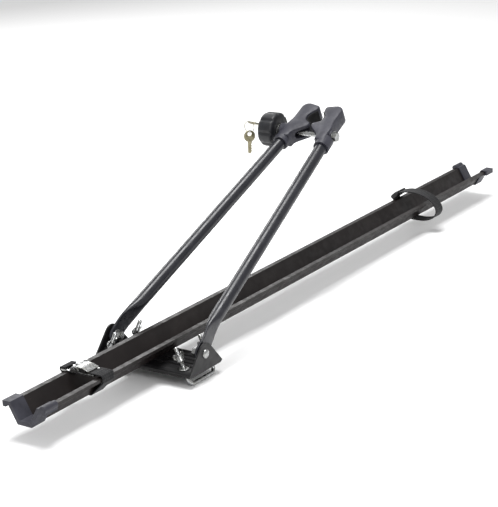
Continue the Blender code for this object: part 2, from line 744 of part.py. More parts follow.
def make_knob():
    """The lobed knob, the sleeve nut it turns on the clamp bolt, and the lock set in its outer face."""
    face = KNOB_FACE + KNOB_WASHER + GAP
    radius = KNOB_DIAMETER / 2
    end = KNOB_LENGTH
    levels = [(0, 0.90), (0.002, 1), (end - 0.004, 1), (end - 0.001, 0.94), (end, 0.84)]
    rings = [
        [Vector((CLAMP.x + a, face + along, CLAMP.z + b)) for a, b in knob_outline(radius * size)]
        for along, size in levels
    ]
    knob = loft("clamp_knob", rings, BLACK_PLASTIC)
    centre = Vector((CLAMP.x, face, CLAMP.z))
    axis = Vector((0, 1, 0))
    bore = [(-0.001, SLEEVE_NUT / 2 + GAP), (SLEEVE_NUT_IN_KNOB + GAP, SLEEVE_NUT / 2 + GAP)]
    cut(knob, turned("sleeve_nut_seat", centre, axis, bore, BRASS, 20))
    start = Vector((CLAMP.x, KNOB_FACE - KNOB_STANDOFF - SLEEVE_NUT_IN_JAW, CLAMP.z))
    length = face + SLEEVE_NUT_IN_KNOB - start.y
    nut = collar("knob_sleeve_nut", start, axis, CLAMP_BOLT / 2 + GAP, SLEEVE_NUT / 2, length, ZINC, 20)
    lock = Vector((CLAMP.x, face + KNOB_LENGTH - LOCK_DEPTH, CLAMP.z + LOCK_OFFSET))
    socket = [(0, LOCK_DIAMETER / 2 + GAP), (0.05, LOCK_DIAMETER / 2 + GAP)]
    cut(knob, turned("lock_seat", lock - axis * GAP, axis, socket, BLACK_PLASTIC, 20))
    length = LOCK_DEPTH + LOCK_PROUD
    barrel = turned("lock_barrel", lock, axis, [(0, LOCK_DIAMETER / 2), (length - 0.001, LOCK_DIAMETER / 2),
                                                (length, LOCK_DIAMETER / 2 - 0.001)], ZINC, 20)
    mouth = lock + axis * length
    opening = rectangle(KEY_BLADE_WIDTH + 2 * GAP, KEY_SHEET + 2 * GAP)
    keyway = prism("keyway", opening, "Y", -KEY_IN_LOCK - GAP, 0.01, ZINC)
    place(keyway, Matrix.Translation(mouth) @ Matrix.Rotation(LOCK_TURN, 4, "Y"))
    cut(barrel, keyway)
    washer = collar("knob_washer", Vector((CLAMP.x, KNOB_FACE, CLAMP.z)), axis, SLEEVE_NUT / 2 + GAP,
                    KNOB_WASHER_DIAMETER / 2, KNOB_WASHER, ZINC)
    return knob, nut, barrel, washer, mouth


def key_outline():
    """A key in its own plane: a round bow at the origin and a toothed blade along -Y."""
    bow = KEY_BOW / 2
    half = KEY_BLADE_WIDTH / 2
    start = asin(half / bow)
    outline = []
    for i in range(21):
        turn = -pi / 2 + start + (2 * pi - 2 * start) * i / 20
        outline.append((bow * cos(turn), bow * sin(turn)))
    tip = -bow - KEY_BLADE_LENGTH
    outline += [(-half, tip + 0.002), (0, tip), (half * 0.6, tip + 0.002)]
    teeth = 4
    for i in range(teeth):
        low = tip + 0.003 + i * 0.004
        outline += [(half * 0.55, low), (half, low + 0.0015), (half, low + 0.0025)]
    return outline


def make_key(name, matrix):
    key = prism(name, key_outline(), "Z", -KEY_SHEET / 2, KEY_SHEET / 2, BRASS)
    hole_at = KEY_BOW / 2 - KEY_HOLE / 2 - KEY_RIM
    hole = rod("key_hole", Vector((0, hole_at, -0.01)), Vector((0, hole_at, 0.01)), KEY_HOLE / 2, BRASS, 16)
    cut(key, hole)
    for piece in (key, hole):
        place(piece, matrix)
    return key, matrix @ Vector((0, hole_at, 0))


def make_keys(mouth):
    """The key stands turned in the lock; the ring through its bow carries the spare key, which hangs."""
    bow = mouth + Vector((0, KEY_BLADE_LENGTH - KEY_IN_LOCK + KEY_BOW / 2, 0))
    key, hole = make_key("lock_key", Matrix.Translation(bow) @ Matrix.Rotation(LOCK_TURN, 4, "Y"))
    centre = Vector((hole.x, hole.y + KEY_HOLE / 2 + KEY_RIM / 2, hole.z - RING_DROP))
    path = [centre + RING_RADIUS * Vector((0, cos(a), sin(a))) for a in [2 * pi * i / 24 for i in range(24)]]
    ring = swept("key_ring", path, circle(RING_WIRE / 2, 8), BRASS, closed=True)
    hole_at = KEY_BOW / 2 - KEY_HOLE / 2 - KEY_RIM
    rest = Vector((centre.x, centre.y, centre.z - RING_RADIUS - KEY_HOLE / 2 + RING_WIRE / 2 + 3 * GAP))
    facing = Matrix.Rotation(SPARE_FACING, 4, "Z") @ Matrix.Rotation(pi / 2, 4, "X")
    spare = make_key("spare_key", Matrix.Translation(rest) @ facing @ Matrix.Translation((0, -hole_at, 0)))[0]
    return key, ring, spare, centre + Vector((0, 0, RING_DROP))


def stud_frame(side, tip_height):
    """Local X along the roof, local Z up the legs, origin at the middle of the U-bolt's bar."""
    lean = Matrix.Rotation(side * STUD_LEAN, 4, "X")
    up = lean @ Vector((0, 0, 1))
    on_top = Vector((0, side * STUD_AT, BASE_TOP))
    tip = on_top + up * ((tip_height - BASE_TOP) / up.z)
    return Matrix.Translation(tip - up * STUD_HEIGHT) @ lean


def make_u_bolt(name, side, tip_height):
    frame = stud_frame(side, tip_height)
    half = STUD_SPACING / 2
    path = [Vector((-half, 0, STUD_HEIGHT))]
    for turn in (0, pi / 8, pi / 4, 3 * pi / 8, pi / 2):
        path.append(Vector((-half + STUD_BEND * (1 - cos(turn)), 0, STUD_BEND * (1 - sin(turn)))))
    path += [Vector((-p.x, 0, p.z)) for p in reversed(path)]
    bolt = swept(f"{name}_u_bolt", path, circle(STUD / 2, 12), ZINC, flat=Vector((0, 1, 0)))
    place(bolt, frame)
    seat = (BASE_TOP - frame.translation.z) / cos(STUD_LEAN)
    bore = (STUD / 2 + WASHER_SHEET / 2 * sin(STUD_LEAN)) / cos(STUD_LEAN) + GAP
    for end, x in (("rear", -half), ("front", half)):
        flat = Vector((x, side * (STUD_AT - WASHER_SHEET / 2 * sin(STUD_LEAN)), BASE_TOP + GAP))
        collar(f"{name}_{end}_washer", flat, Vector((0, 0, 1)), bore, WASHER / 2, WASHER_SHEET, ZINC, 20)
        nut = make_wing_nut(f"{name}_{end}_wing_nut", x, seat + NUT_ABOVE)
        for obj in [nut, *(modifier.object for modifier in nut.modifiers)]:
            place(obj, frame)
        pivot_at(f"{name}_{end}_nut_axis", frame @ Vector((x, 0, seat + NUT_ABOVE)), [nut])


def make_wing_nut(name, x, low):
    """A round hub with two upswept wings, threaded on a leg."""
    base = Vector((x, 0, low))
    up = Vector((0, 0, 1))
    hub = turned(name, base, up, [(0, WING_HUB / 2), (WING_HUB_HEIGHT * 0.8, WING_HUB / 2 * 0.85),
                                  (WING_HUB_HEIGHT, WING_HUB / 2 * 0.7)], ZINC, 20)
    for side in (-1, 1):
        reach = WING_SPAN / 2
        outline = rounded([
            (x + side * 0.003, low + 0.001),
            (x + side * WING_HUB / 2, low + 0.001),
            (x + side * reach, low + 0.006),
            (x + side * reach, low + WING_HEIGHT),
            (x + side * (reach - 0.005), low + WING_HEIGHT),
            (x + side * 0.003, low + 0.006),
        ], [0, 0.001, 0.003, 0.0025, 0.0025, 0], 3)
        join(hub, prism("wing", outline, "Y", -WING_SHEET / 2, WING_SHEET / 2, ZINC))
    cut(hub, rod("thread", base - up * 0.01, base + up * 0.03, STUD / 2 + GAP, ZINC, 12))
    return hub


def ribbon(name, path, x, width, thickness, finish, closed):
    """Webbing that lies square to X, swept along a path of (y, z)."""
    points = [Vector((x, y, z)) for y, z in path]
    return swept(name, points, rectangle(width, thickness), finish, closed, flat=Vector((1, 0, 0)))


def make_buckle(low):
    """A cam buckle that lies from lip to lip: frame, spring-closed lever and the lever's pin."""
    x = NEAR_STRAP_X
    half_x, half_y = BUCKLE_WIDTH / 2, BUCKLE_LENGTH / 2
    bar = 0.0035
    y = BUCKLE_SHIFT
    plate = rounded([(x + a, y + b) for a, b in rectangle(BUCKLE_WIDTH, BUCKLE_LENGTH)], 0.003, 3)
    frame = prism("buckle_frame", plate, "Z", low, low + BUCKLE_SHEET, ZINC)
    windows = ((-half_y + bar, -half_y + bar + 0.009), (-0.009, 0.010), (half_y - bar - 0.009, half_y - bar))
    for start, stop in windows:
        middle = y + (start + stop) / 2
        opening = [(x + a, middle + b) for a, b in rectangle(BUCKLE_WIDTH - 2 * bar, stop - start)]
        cut(frame, prism("window", rounded(opening, 0.001, 2), "Z", low - 0.01, low + 0.02, ZINC))
    pin_y, pin_z = y + BUCKLE_PIN_Y, BUCKLE_PIN_RISE
    for side in (-1, 1):
        outer = x + side * half_x
        inner = outer - side * BUCKLE_SHEET
        cheek = rounded([(pin_y - 0.009, low + 0.0005), (pin_y + 0.009, low + 0.0005),
                         (pin_y + 0.004, low + pin_z + 0.004), (pin_y - 0.004, low + pin_z + 0.004)],
                        [0, 0, 0.003, 0.003], 3)
        join(frame, prism("cheek", cheek, "X", min(outer, inner), max(outer, inner), ZINC))
    axle = Vector((x, pin_y, low + pin_z))
    reach = Vector((half_x + 0.001, 0, 0))
    cut(frame, rod("pin_hole", axle - reach * 1.2, axle + reach * 1.2, BUCKLE_PIN_RADIUS + GAP, ZINC, 12))
    rod("buckle_pin", axle - reach, axle + reach, BUCKLE_PIN_RADIUS, ZINC, 12)
    inside = half_x - BUCKLE_SHEET - 2 * GAP
    cam = BUCKLE_PIN_RADIUS + 0.0015
    lever = rounded([
        (pin_y - cam, low + pin_z - cam),
        (pin_y + cam, low + pin_z - cam * 0.6),
        (pin_y + cam, low + pin_z + cam),
        (pin_y - 0.010, low + pin_z + cam),
        (pin_y - 0.022, low + pin_z - 0.0005),
        (pin_y - 0.022, low + pin_z - 0.002),
        (pin_y - 0.010, low + pin_z + cam - 0.0016),
        (pin_y - cam, low + pin_z + 0.0005),
    ], [0.001, 0.001, 0.0015, 0.002, 0, 0, 0.002, 0.0005], 2)
    lever = prism("buckle_lever", lever, "X", x - inside, x + inside, ZINC)
    cut(lever, rod("lever_bore", axle - reach * 2, axle + reach * 2, BUCKLE_PIN_RADIUS + GAP, ZINC, 12))
    pivot_at("buckle_hinge", axle, [lever])


def make_near_strap():
    """Webbing that runs under the tray from one end of its cam buckle to the other."""
    floor = TRAY_FLOOR / 2
    edge = floor + TRAY_FLARE + TRAY_LIP
    away = WEBBING_SHEET / 2 + GAP
    buckle_low = TRAY_TOP + BUCKLE_CLEAR
    over = buckle_low + BUCKLE_SHEET + away
    under_lip = TRAY_TOP - TRAY_HEM - 2 * TRAY_SHEET - GAP
    near_bar = BUCKLE_SHIFT - BUCKLE_LENGTH / 2
    far_bar = BUCKLE_SHIFT + BUCKLE_LENGTH / 2
    near_side = -edge - away - GAP
    far_side = max(edge, far_bar) + away + GAP
    points = [
        (near_bar + BUCKLE_TAIL, over),
        (near_bar, over),
        (near_side, over),
        (near_side, under_lip),
        (-floor - 0.001, TRAY_BOTTOM - away),
        (floor + 0.001, TRAY_BOTTOM - away),
        (edge + away + GAP, under_lip),
        (far_side, TRAY_TOP),
        (far_side, over),
        (far_bar - BUCKLE_TAIL, over),
    ]
    path = rounded(points, [0, 0.002, 0.004, 0.002, 0.002, 0.002, 0.003, 0.003, 0.0015, 0], 3)
    ribbon("near_strap", path, NEAR_STRAP_X, WEBBING, WEBBING_SHEET, WEB, False)
    make_buckle(buckle_low)


def smooth_loop(points, steps):
    """A closed Catmull-Rom curve through a few points."""
    loop = []
    count = len(points)
    for i in range(count):
        p0, p1, p2, p3 = (Vector(points[(i + j - 1) % count]) for j in range(4))
        for j in range(steps):
            t = j / steps
            loop.append(0.5 * (2 * p1 + (p2 - p0) * t + (2 * p0 - 5 * p1 + 4 * p2 - p3) * t**2
                               + (3 * p1 - p0 - 3 * p2 + p3) * t**3))
    return loop


def make_far_strap():
    """The slack wheel strap: a loop of webbing that hangs round the tray, and its slider."""
    edge = TRAY_FLOOR / 2 + TRAY_FLARE + TRAY_LIP
    points = [
        (edge + 0.0025, TRAY_TOP - 0.004),
        (edge - 0.001, TRAY_TOP + 0.008),
        (0.012, TRAY_TOP + 0.0155),
        (-0.014, TRAY_TOP + 0.0155),
        (-0.038, TRAY_TOP + 0.006),
        (-0.0495, TRAY_TOP - 0.010),
        (-0.044, TRAY_BOTTOM + 0.002),
        (-0.028, TRAY_BOTTOM - 0.005),
        (-0.008, TRAY_BOTTOM - 0.006),
        (0.012, TRAY_BOTTOM - 0.003),
        (0.026, TRAY_BOTTOM + 0.007),
    ]
    loop = smooth_loop(points, 4)
    ribbon("far_strap", [tuple(p) for p in loop], FAR_STRAP_X, WEBBING, WEBBING_SHEET, WEB, True)
    at = loop[4]
    along = (loop[5] - loop[3]).normalized()
    turn = atan2(along.y, along.x)
    frame = Matrix.Translation((FAR_STRAP_X, at.x, at.y)) @ Matrix.Rotation(turn, 4, "X")
    length, wide, thick = 0.014, WEBBING + 0.008, WEBBING_SHEET + 0.005
    slider = prism("far_strap_slider", rounded([(-length / 2, -thick / 2), (length / 2, -thick / 2),
                                                (length / 2, thick / 2), (-length / 2, thick / 2)], 0.002, 3),
                   "X", -wide / 2, wide / 2, BLACK_PLASTIC)
    passage = [tuple(Vector(p) - at) for p in (loop[1], loop[2], loop[3], loop[4], loop[5], loop[6], loop[7])]
    unturned = Matrix.Rotation(-turn, 2)
    path = [Vector((0, *(unturned @ Vector(p)))) for p in passage]
    slot = swept("webbing_slot", path, rectangle(WEBBING + 3 * GAP, WEBBING_SHEET + 3 * GAP), BLACK_PLASTIC,
                 flat=Vector((1, 0, 0)))
    cut(slider, slot)
    for piece in (slider, slot):
        place(piece, frame)


clear_scene()
make_tray()
make_end_cap("near_end_cap", -TRAY_BEHIND, 1, -1)
make_end_cap("far_end_cap", TRAY_LENGTH - TRAY_BEHIND, -1, 1)
make_base()
make_pad()
make_tray_bolts()
make_pivot("near", -1)
make_pivot("far", 1)
near_arm = make_arm("near", -1)
far_arm = make_arm("far", 1)
near_jaw = make_jaw("near", -1, CLAMP_BOLT, 0, NEAR_SEAT, CLAMP_WASHER / 2 + SLEEVE_CLEAR / 2)
far_jaw = make_jaw("far", 1, SLEEVE_NUT, JAW_SLOT, FAR_SEAT, JAW_BOSS_DIAMETER / 2)
near_lining = make_jaw_lining("near", -1)
far_lining = make_jaw_lining("far", 1)
clamp_bolt, clamp_washer = make_clamp_bolt()
knob, sleeve_nut, barrel, knob_washer, lock_mouth = make_knob()
key, ring, spare, rim = make_keys(lock_mouth)
for label, way, tip in (("near", -1, NEAR_STUD_TIP), ("far", 1, FAR_STUD_TIP)):
    make_u_bolt(label, way, tip)
make_near_strap()
make_far_strap()

ring_axis = pivot_at("ring_axis", rim, [ring, spare])
lock_axis = pivot_at("lock_axis", lock_mouth, [barrel, key, ring_axis])
turning = [knob_washer, knob, sleeve_nut, lock_axis]
knob_axis = pivot_at("knob_axis", Vector((CLAMP.x, KNOB_FACE, CLAMP.z)), turning)
spread = pivot_at("far_arm_spread", PIVOT, [far_arm, far_jaw, far_lining])
near_side = [near_arm, near_jaw, near_lining, clamp_bolt, clamp_washer]
pivot_at("frame_fold", Vector((0, 0, PIVOT_HEIGHT)), [*near_side, spread, knob_axis])
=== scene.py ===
# %% [markdown]
# # Looks for an upright roof bicycle carrier
#
# The carrier is a long V-shaped wheel tray on a small steel bracket. Two tubes fold up from the
# bracket and end in a pair of plastic jaws, which a lockable knob pulls together on a bicycle's
# frame tube. This script takes the finished mechanical model as it is and makes its surfaces
# look real: rounded edges, threads, woven straps, paint, plate and moulded plastic.
#
# Everything is in metres in the model's own frame: +X along the tray, +Z up.

import json
from math import cos, pi, radians, sin, sqrt

import bmesh
import bpy
from mathutils import Matrix, Vector

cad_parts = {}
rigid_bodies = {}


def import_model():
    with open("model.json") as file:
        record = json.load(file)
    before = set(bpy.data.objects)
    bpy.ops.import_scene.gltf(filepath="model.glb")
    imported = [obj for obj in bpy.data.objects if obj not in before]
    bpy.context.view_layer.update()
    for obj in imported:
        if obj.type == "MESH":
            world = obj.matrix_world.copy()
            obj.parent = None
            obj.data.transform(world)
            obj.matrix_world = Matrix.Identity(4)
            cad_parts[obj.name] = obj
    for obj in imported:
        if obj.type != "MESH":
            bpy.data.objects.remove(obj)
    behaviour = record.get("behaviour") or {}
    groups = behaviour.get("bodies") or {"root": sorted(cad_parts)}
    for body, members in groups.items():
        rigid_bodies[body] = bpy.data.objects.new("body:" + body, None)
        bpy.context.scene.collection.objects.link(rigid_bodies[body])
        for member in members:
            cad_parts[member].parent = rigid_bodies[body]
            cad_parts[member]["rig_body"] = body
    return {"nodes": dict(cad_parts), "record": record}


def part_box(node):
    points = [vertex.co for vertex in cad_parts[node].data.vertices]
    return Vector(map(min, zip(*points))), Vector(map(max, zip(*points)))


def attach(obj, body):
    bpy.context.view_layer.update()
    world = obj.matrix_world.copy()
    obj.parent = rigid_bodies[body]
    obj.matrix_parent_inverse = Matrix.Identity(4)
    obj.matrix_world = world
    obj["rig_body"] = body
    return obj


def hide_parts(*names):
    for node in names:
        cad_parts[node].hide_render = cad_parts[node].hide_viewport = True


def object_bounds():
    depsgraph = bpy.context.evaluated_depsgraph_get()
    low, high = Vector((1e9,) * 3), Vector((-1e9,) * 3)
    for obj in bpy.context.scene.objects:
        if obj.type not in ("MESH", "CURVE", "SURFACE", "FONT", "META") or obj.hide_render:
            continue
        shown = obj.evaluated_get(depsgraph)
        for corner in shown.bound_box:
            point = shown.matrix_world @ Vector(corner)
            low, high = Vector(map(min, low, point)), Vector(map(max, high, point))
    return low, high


for obj in list(bpy.data.objects):
    bpy.data.objects.remove(obj)

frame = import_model()
cad_low, cad_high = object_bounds()
nodes = frame["nodes"]
slot_of = {part["node"]: part["material_slot"] for part in frame["record"]["subparts"]}
print("model box in mm:", [round(v * 1000, 1) for v in (*cad_low, *cad_high)])

# %% [markdown]
# ## Camera
#
# A long lens from far away keeps the tray's sides almost parallel, as product pictures do. A
# camera in Blender looks along its own -Z, so its matrix is built from three directions: to the
# right, up and backwards. The small roll tips the picture as a hand-held camera would.

# %% Camera
CAMERA_PLACE = Vector((-1.819, -1.368, 0.8845))
CAMERA_LOOKS = Vector((0.793, 0.527, -0.306)).normalized()
CAMERA_ROLL = radians(-1.9)
CAMERA_LENS = 122.8

level = CAMERA_LOOKS.cross(Vector((0, 0, 1))).normalized()
upright = level.cross(CAMERA_LOOKS)
to_right = level * cos(CAMERA_ROLL) + upright * sin(CAMERA_ROLL)
to_top = upright * cos(CAMERA_ROLL) - level * sin(CAMERA_ROLL)

lens = bpy.data.cameras.new("camera")
lens.lens = CAMERA_LENS
lens.sensor_width = 36
camera = bpy.data.objects.new("camera", lens)
bpy.context.scene.collection.objects.link(camera)
turn = Matrix((to_right, to_top, -CAMERA_LOOKS)).transposed().to_4x4()
camera.matrix_world = Matrix.Translation(CAMERA_PLACE) @ turn
bpy.context.scene.camera = camera
print("camera stands", round((CAMERA_PLACE - (cad_low + cad_high) / 2).length, 2), "m from the middle")

# %% [markdown]
# ## Floor and light
#
# Dark paint and bright plate both need large, soft lights: the paint shows its shape only in
# what it reflects. One wide lamp hangs overhead, one stands on the camera's side, and a long
# one behind draws a thin highlight along the tubes. The floor runs far past the picture.

# %% Floor
FLOOR_SIZE = 14

floor_mesh = bpy.data.meshes.new("floor")
half = FLOOR_SIZE / 2
corners = [(-half, -half), (half, -half), (half, half), (-half, half)]
floor_mesh.from_pydata([(x, y, cad_low.z) for x, y in corners], [], [(0, 1, 2, 3)])
floor = bpy.data.objects.new("floor", floor_mesh)
bpy.context.scene.collection.objects.link(floor)

pale = bpy.data.materials.new("floor_paint")
pale.use_nodes = True
pale_shader = pale.node_tree.nodes["Principled BSDF"]
pale_shader.inputs["Base Color"].default_value = (0.93, 0.93, 0.93, 1)
pale_shader.inputs["Roughness"].default_value = 0.7
floor_mesh.materials.append(pale)

world = bpy.data.worlds.new("studio")
world.use_nodes = True
sky = world.node_tree.nodes["Background"]
sky.inputs["Color"].default_value = (1.0, 1.0, 1.0, 1)
sky.inputs["Strength"].default_value = 0.55
bpy.context.scene.world = world
bpy.context.scene.view_settings.view_transform = "Standard"
print("floor at", round(cad_low.z * 1000, 1), "mm")


# %% Lamps
def lamp(name, place, aim, width, height, power):
    """A rectangular soft light that faces a point."""
    data = bpy.data.lights.new(name, "AREA")
    data.shape = "RECTANGLE"
    data.size = width
    data.size_y = height
    data.energy = power
    light = bpy.data.objects.new(name, data)
    bpy.context.scene.collection.objects.link(light)
    light.location = place
    light.rotation_euler = (Vector(aim) - Vector(place)).to_track_quat("-Z", "Y").to_euler()
    return light


lamp("overhead", (0.2, 0.1, 2.4), (0.2, 0, 0), 1.6, 1.0, 62)
lamp("camera_side", (-1.2, -2.2, 1.5), (0.2, 0, 0.1), 1.2, 0.9, 24)
lamp("behind", (1.6, 2.0, 1.2), (0.3, 0, 0.1), 2.4, 0.4, 26)
print("3 lamps")

# %% [markdown]
# ## Finishes
#
# A finish is more than a colour. Powder coat has a faint orange peel, zinc plate is cloudy,
# moulded plastic carries the fine grain of its mould, and what gets handled has a few thin rub
# marks. Each finish below is one Principled shader with two or three noise layers:
# one varies the colour, one varies the roughness and one gives the bump. Noise is read in the
# model's own metres, so its grain has a real size.


# %% A small kit for shader nodes
class Finish:
    """One material, and short ways to add the layers that it needs."""

    def __init__(self, name, roughness, metallic=0.0, specular=0.5):
        self.material = bpy.data.materials.new(name)
        self.material.use_nodes = True
        self.tree = self.material.node_tree
        self.shader = self.tree.nodes["Principled BSDF"]
        self.shader.inputs["Roughness"].default_value = roughness
        self.shader.inputs["Metallic"].default_value = metallic
        self.shader.inputs["Specular IOR Level"].default_value = specular
        self.place = self.tree.nodes.new("ShaderNodeTexCoord")

    def add(self, kind, **settings):
        node = self.tree.nodes.new(kind)
        for key, value in settings.items():
            setattr(node, key, value)
        return node

    def link(self, start, end):
        self.tree.links.new(start, end)

    def stretched(self, stretch):
        """The object's own coordinates, stretched, for grain that runs one way."""
        mapping = self.add("ShaderNodeMapping")
        mapping.inputs["Scale"].default_value = stretch
        self.link(self.place.outputs["Object"], mapping.inputs["Vector"])
        return mapping.outputs["Vector"]

    def noise(self, grain, detail=3, stretch=(1, 1, 1)):
        """Cloudy noise whose lumps are about one grain across, in metres."""
        node = self.add("ShaderNodeTexNoise")
        node.inputs["Scale"].default_value = 1 / grain
        node.inputs["Detail"].default_value = detail
        self.link(self.stretched(stretch), node.inputs["Vector"])
        return node.outputs["Fac"]

    def between(self, value, low, high, start=0.35, end=0.65):
        """Maps a 0 to 1 value to a range of roughness, or of anything else."""
        node = self.add("ShaderNodeMapRange")
        node.inputs["From Min"].default_value = start
        node.inputs["From Max"].default_value = end
        node.inputs["To Min"].default_value = low
        node.inputs["To Max"].default_value = high
        self.link(value, node.inputs["Value"])
        return node.outputs["Result"]

    def blend(self, share, first, second):
        """Mixes two colours, or two colour outputs, by a share."""
        node = self.add("ShaderNodeMix", data_type="RGBA")
        self.link(share, node.inputs["Factor"])
        for socket, colour in ((node.inputs[6], first), (node.inputs[7], second)):
            if isinstance(colour, tuple):
                socket.default_value = (*colour, 1)
            else:
                self.link(colour, socket)
        return node.outputs[2]

    def colour(self, output):
        self.link(output, self.shader.inputs["Base Color"])

    def roughness(self, output):
        self.link(output, self.shader.inputs["Roughness"])

    def bump(self, height, depth, strength=1.0):
        """Adds relief of a real depth in metres, on top of what is there."""
        node = self.add("ShaderNodeBump")
        node.inputs["Distance"].default_value = depth
        node.inputs["Strength"].default_value = strength
        self.link(height, node.inputs["Height"])
        if self.shader.inputs["Normal"].is_linked:
            before = self.shader.inputs["Normal"].links[0].from_socket
            self.link(before, node.inputs["Normal"])
        self.link(node.outputs["Normal"], self.shader.inputs["Normal"])

    def scuffs(self, share=0.35):
        """Thin, sparse rub marks: long streaks of one noise, kept only where a broad one is high."""
        streaks = self.between(self.noise(0.0011, 4, (0.12, 1, 1)), 0, 1, 0.64, 0.72)
        patches = self.between(self.noise(0.03, 3), 0, share, 0.50, 0.66)
        node = self.add("ShaderNodeMath", operation="MULTIPLY")
        self.link(streaks, node.inputs[0])
        self.link(patches, node.inputs[1])
        return node.outputs[0]


print("shader kit ready")

# %% [markdown]
# ### Paint
#
# Tray, bracket and arms are powder coated. Powder melts into a skin with soft dimples a
# millimetre or two apart, which shows as a gentle waviness in reflections. The tray's coat is a
# warm black, and the arms' is a cooler one with more gloss. Dust settles where nothing rubs, so
# a second, larger noise lightens the colour a little.


# %% Powder coat
def powder_coat(name, dark, dusty, worn, roughness, specular):
    finish = Finish(name, roughness, specular=specular)
    dust = finish.between(finish.noise(0.035, 5), 0, 1, 0.4, 0.75)
    base = finish.blend(dust, dark, dusty)
    finish.colour(finish.blend(finish.scuffs(), base, worn))
    finish.roughness(finish.between(finish.noise(0.012, 4), roughness - 0.06, roughness + 0.1))
    finish.bump(finish.noise(0.0016, 2), 0.00004)
    finish.bump(finish.noise(0.00035, 2), 0.000012)
    return finish.material


FINISHES = {
    "tray_paint": powder_coat(
        "tray_paint", (0.0085, 0.0062, 0.0060), (0.0150, 0.0118, 0.0112), (0.045, 0.040, 0.038), 0.42, 0.28
    ),
    "bracket_paint": powder_coat(
        "bracket_paint", (0.0075, 0.0072, 0.0078), (0.0140, 0.0135, 0.0140), (0.05, 0.05, 0.05), 0.42, 0.30
    ),
    "arm_paint": powder_coat(
        "arm_paint", (0.0090, 0.0094, 0.0135), (0.0160, 0.0165, 0.0220), (0.055, 0.057, 0.070), 0.30, 0.50
    ),
}
print(len(FINISHES), "paints")

# %% [markdown]
# ### Plastic and rubber
#
# The jaws and end caps are moulded in a slate grey plastic. Its mould was spark-eroded, which
# leaves an even matt grain a few tenths of a millimetre across. A Voronoi pattern gives that
# pebbled grain better than noise does, so the two are layered. Rubber is softer: no gloss, a
# bloom of grey on its surface, and a coarser grain.


# %% Moulded plastic
def moulded_plastic(name, dark, light, roughness, grain=0.0007):
    finish = Finish(name, roughness, specular=0.4)
    cloud = finish.between(finish.noise(0.02, 4), 0, 1)
    base = finish.blend(cloud, dark, light)
    rubbed = tuple(part * 2.2 for part in light)
    finish.colour(finish.blend(finish.scuffs(), base, rubbed))
    finish.roughness(finish.between(finish.noise(0.006, 3), roughness - 0.07, roughness + 0.07))
    pebbles = finish.add("ShaderNodeTexVoronoi")
    pebbles.inputs["Scale"].default_value = 1 / grain
    finish.link(finish.stretched((1, 1, 1)), pebbles.inputs["Vector"])
    finish.bump(pebbles.outputs["Distance"], 0.00003, 0.6)
    finish.bump(finish.noise(0.0003, 2), 0.00001)
    return finish.material


def soft_rubber(name):
    finish = Finish(name, 0.85, specular=0.25)
    bloom = finish.between(finish.noise(0.008, 5), 0, 1, 0.4, 0.7)
    finish.colour(finish.blend(bloom, (0.0075, 0.0075, 0.0075), (0.0150, 0.0150, 0.0155)))
    finish.roughness(finish.between(finish.noise(0.003, 3), 0.75, 0.95))
    finish.bump(finish.noise(0.0006, 3), 0.00005)
    return finish.material


PLASTICS = {
    "slate_plastic": ((0.022, 0.022, 0.031), (0.036, 0.036, 0.048), 0.50),
    "knob_plastic": ((0.0090, 0.0095, 0.0115), (0.0165, 0.0170, 0.0200), 0.42),
    "bush_plastic": ((0.0095, 0.0095, 0.0100), (0.0160, 0.0160, 0.0170), 0.50),
    "slider_plastic": ((0.0085, 0.0085, 0.0095), (0.0160, 0.0160, 0.0175), 0.46),
}
for name, (dark, light, roughness) in PLASTICS.items():
    FINISHES[name] = moulded_plastic(name, dark, light, roughness)
FINISHES["rubber"] = soft_rubber("rubber")
print(len(FINISHES), "finishes so far")

# %% [markdown]
# ### Metal
#
# Bolts, nuts and the buckle are zinc plated. Plate is bright but never clean: it has cloudy
# patches, a trace of yellow where it was passivated, and fine rolling lines. The keys are
# nickel over brass. The nickel is gone from their edges, and the brass shows there.


# %% Plated metal
def zinc_plate(name):
    finish = Finish(name, 0.3, metallic=1.0)
    cloud = finish.between(finish.noise(0.006, 5), 0, 1, 0.35, 0.7)
    tint = finish.blend(cloud, (0.47, 0.48, 0.49), (0.30, 0.30, 0.28))
    dull = finish.between(finish.noise(0.0015, 4), 0, 0.7, 0.48, 0.70)
    finish.colour(finish.blend(dull, tint, (0.12, 0.115, 0.10)))
    finish.roughness(finish.between(finish.noise(0.003, 4), 0.18, 0.40))
    finish.bump(finish.noise(0.0007, 3, (1, 1, 6)), 0.000012)
    return finish.material


def worn_key_metal(name):
    finish = Finish(name, 0.32, metallic=1.0)
    cloud = finish.between(finish.noise(0.005, 5), 0, 1, 0.35, 0.7)
    nickel = finish.blend(cloud, (0.34, 0.31, 0.21), (0.17, 0.155, 0.095))
    finish.colour(finish.blend(finish.scuffs(0.8), nickel, (0.50, 0.38, 0.17)))
    finish.roughness(finish.between(finish.noise(0.002, 4), 0.24, 0.48))
    finish.bump(finish.noise(0.0009, 3, (1, 8, 1)), 0.000015)
    return finish.material


FINISHES["zinc"] = zinc_plate("zinc")
FINISHES["key_brass"] = worn_key_metal("key_brass")
print(len(FINISHES), "finishes so far")

# %% [markdown]
# ### Webbing
#
# Strap webbing is a plain weave of thick yarn. Seen close, it is rows of small ovals, every
# other row shifted by half a yarn. Two wave textures, one across the strap and one along it,
# multiply to that grid of bumps. The straps here run round the tray in the Y and Z directions,
# so the waves along the strap use both.


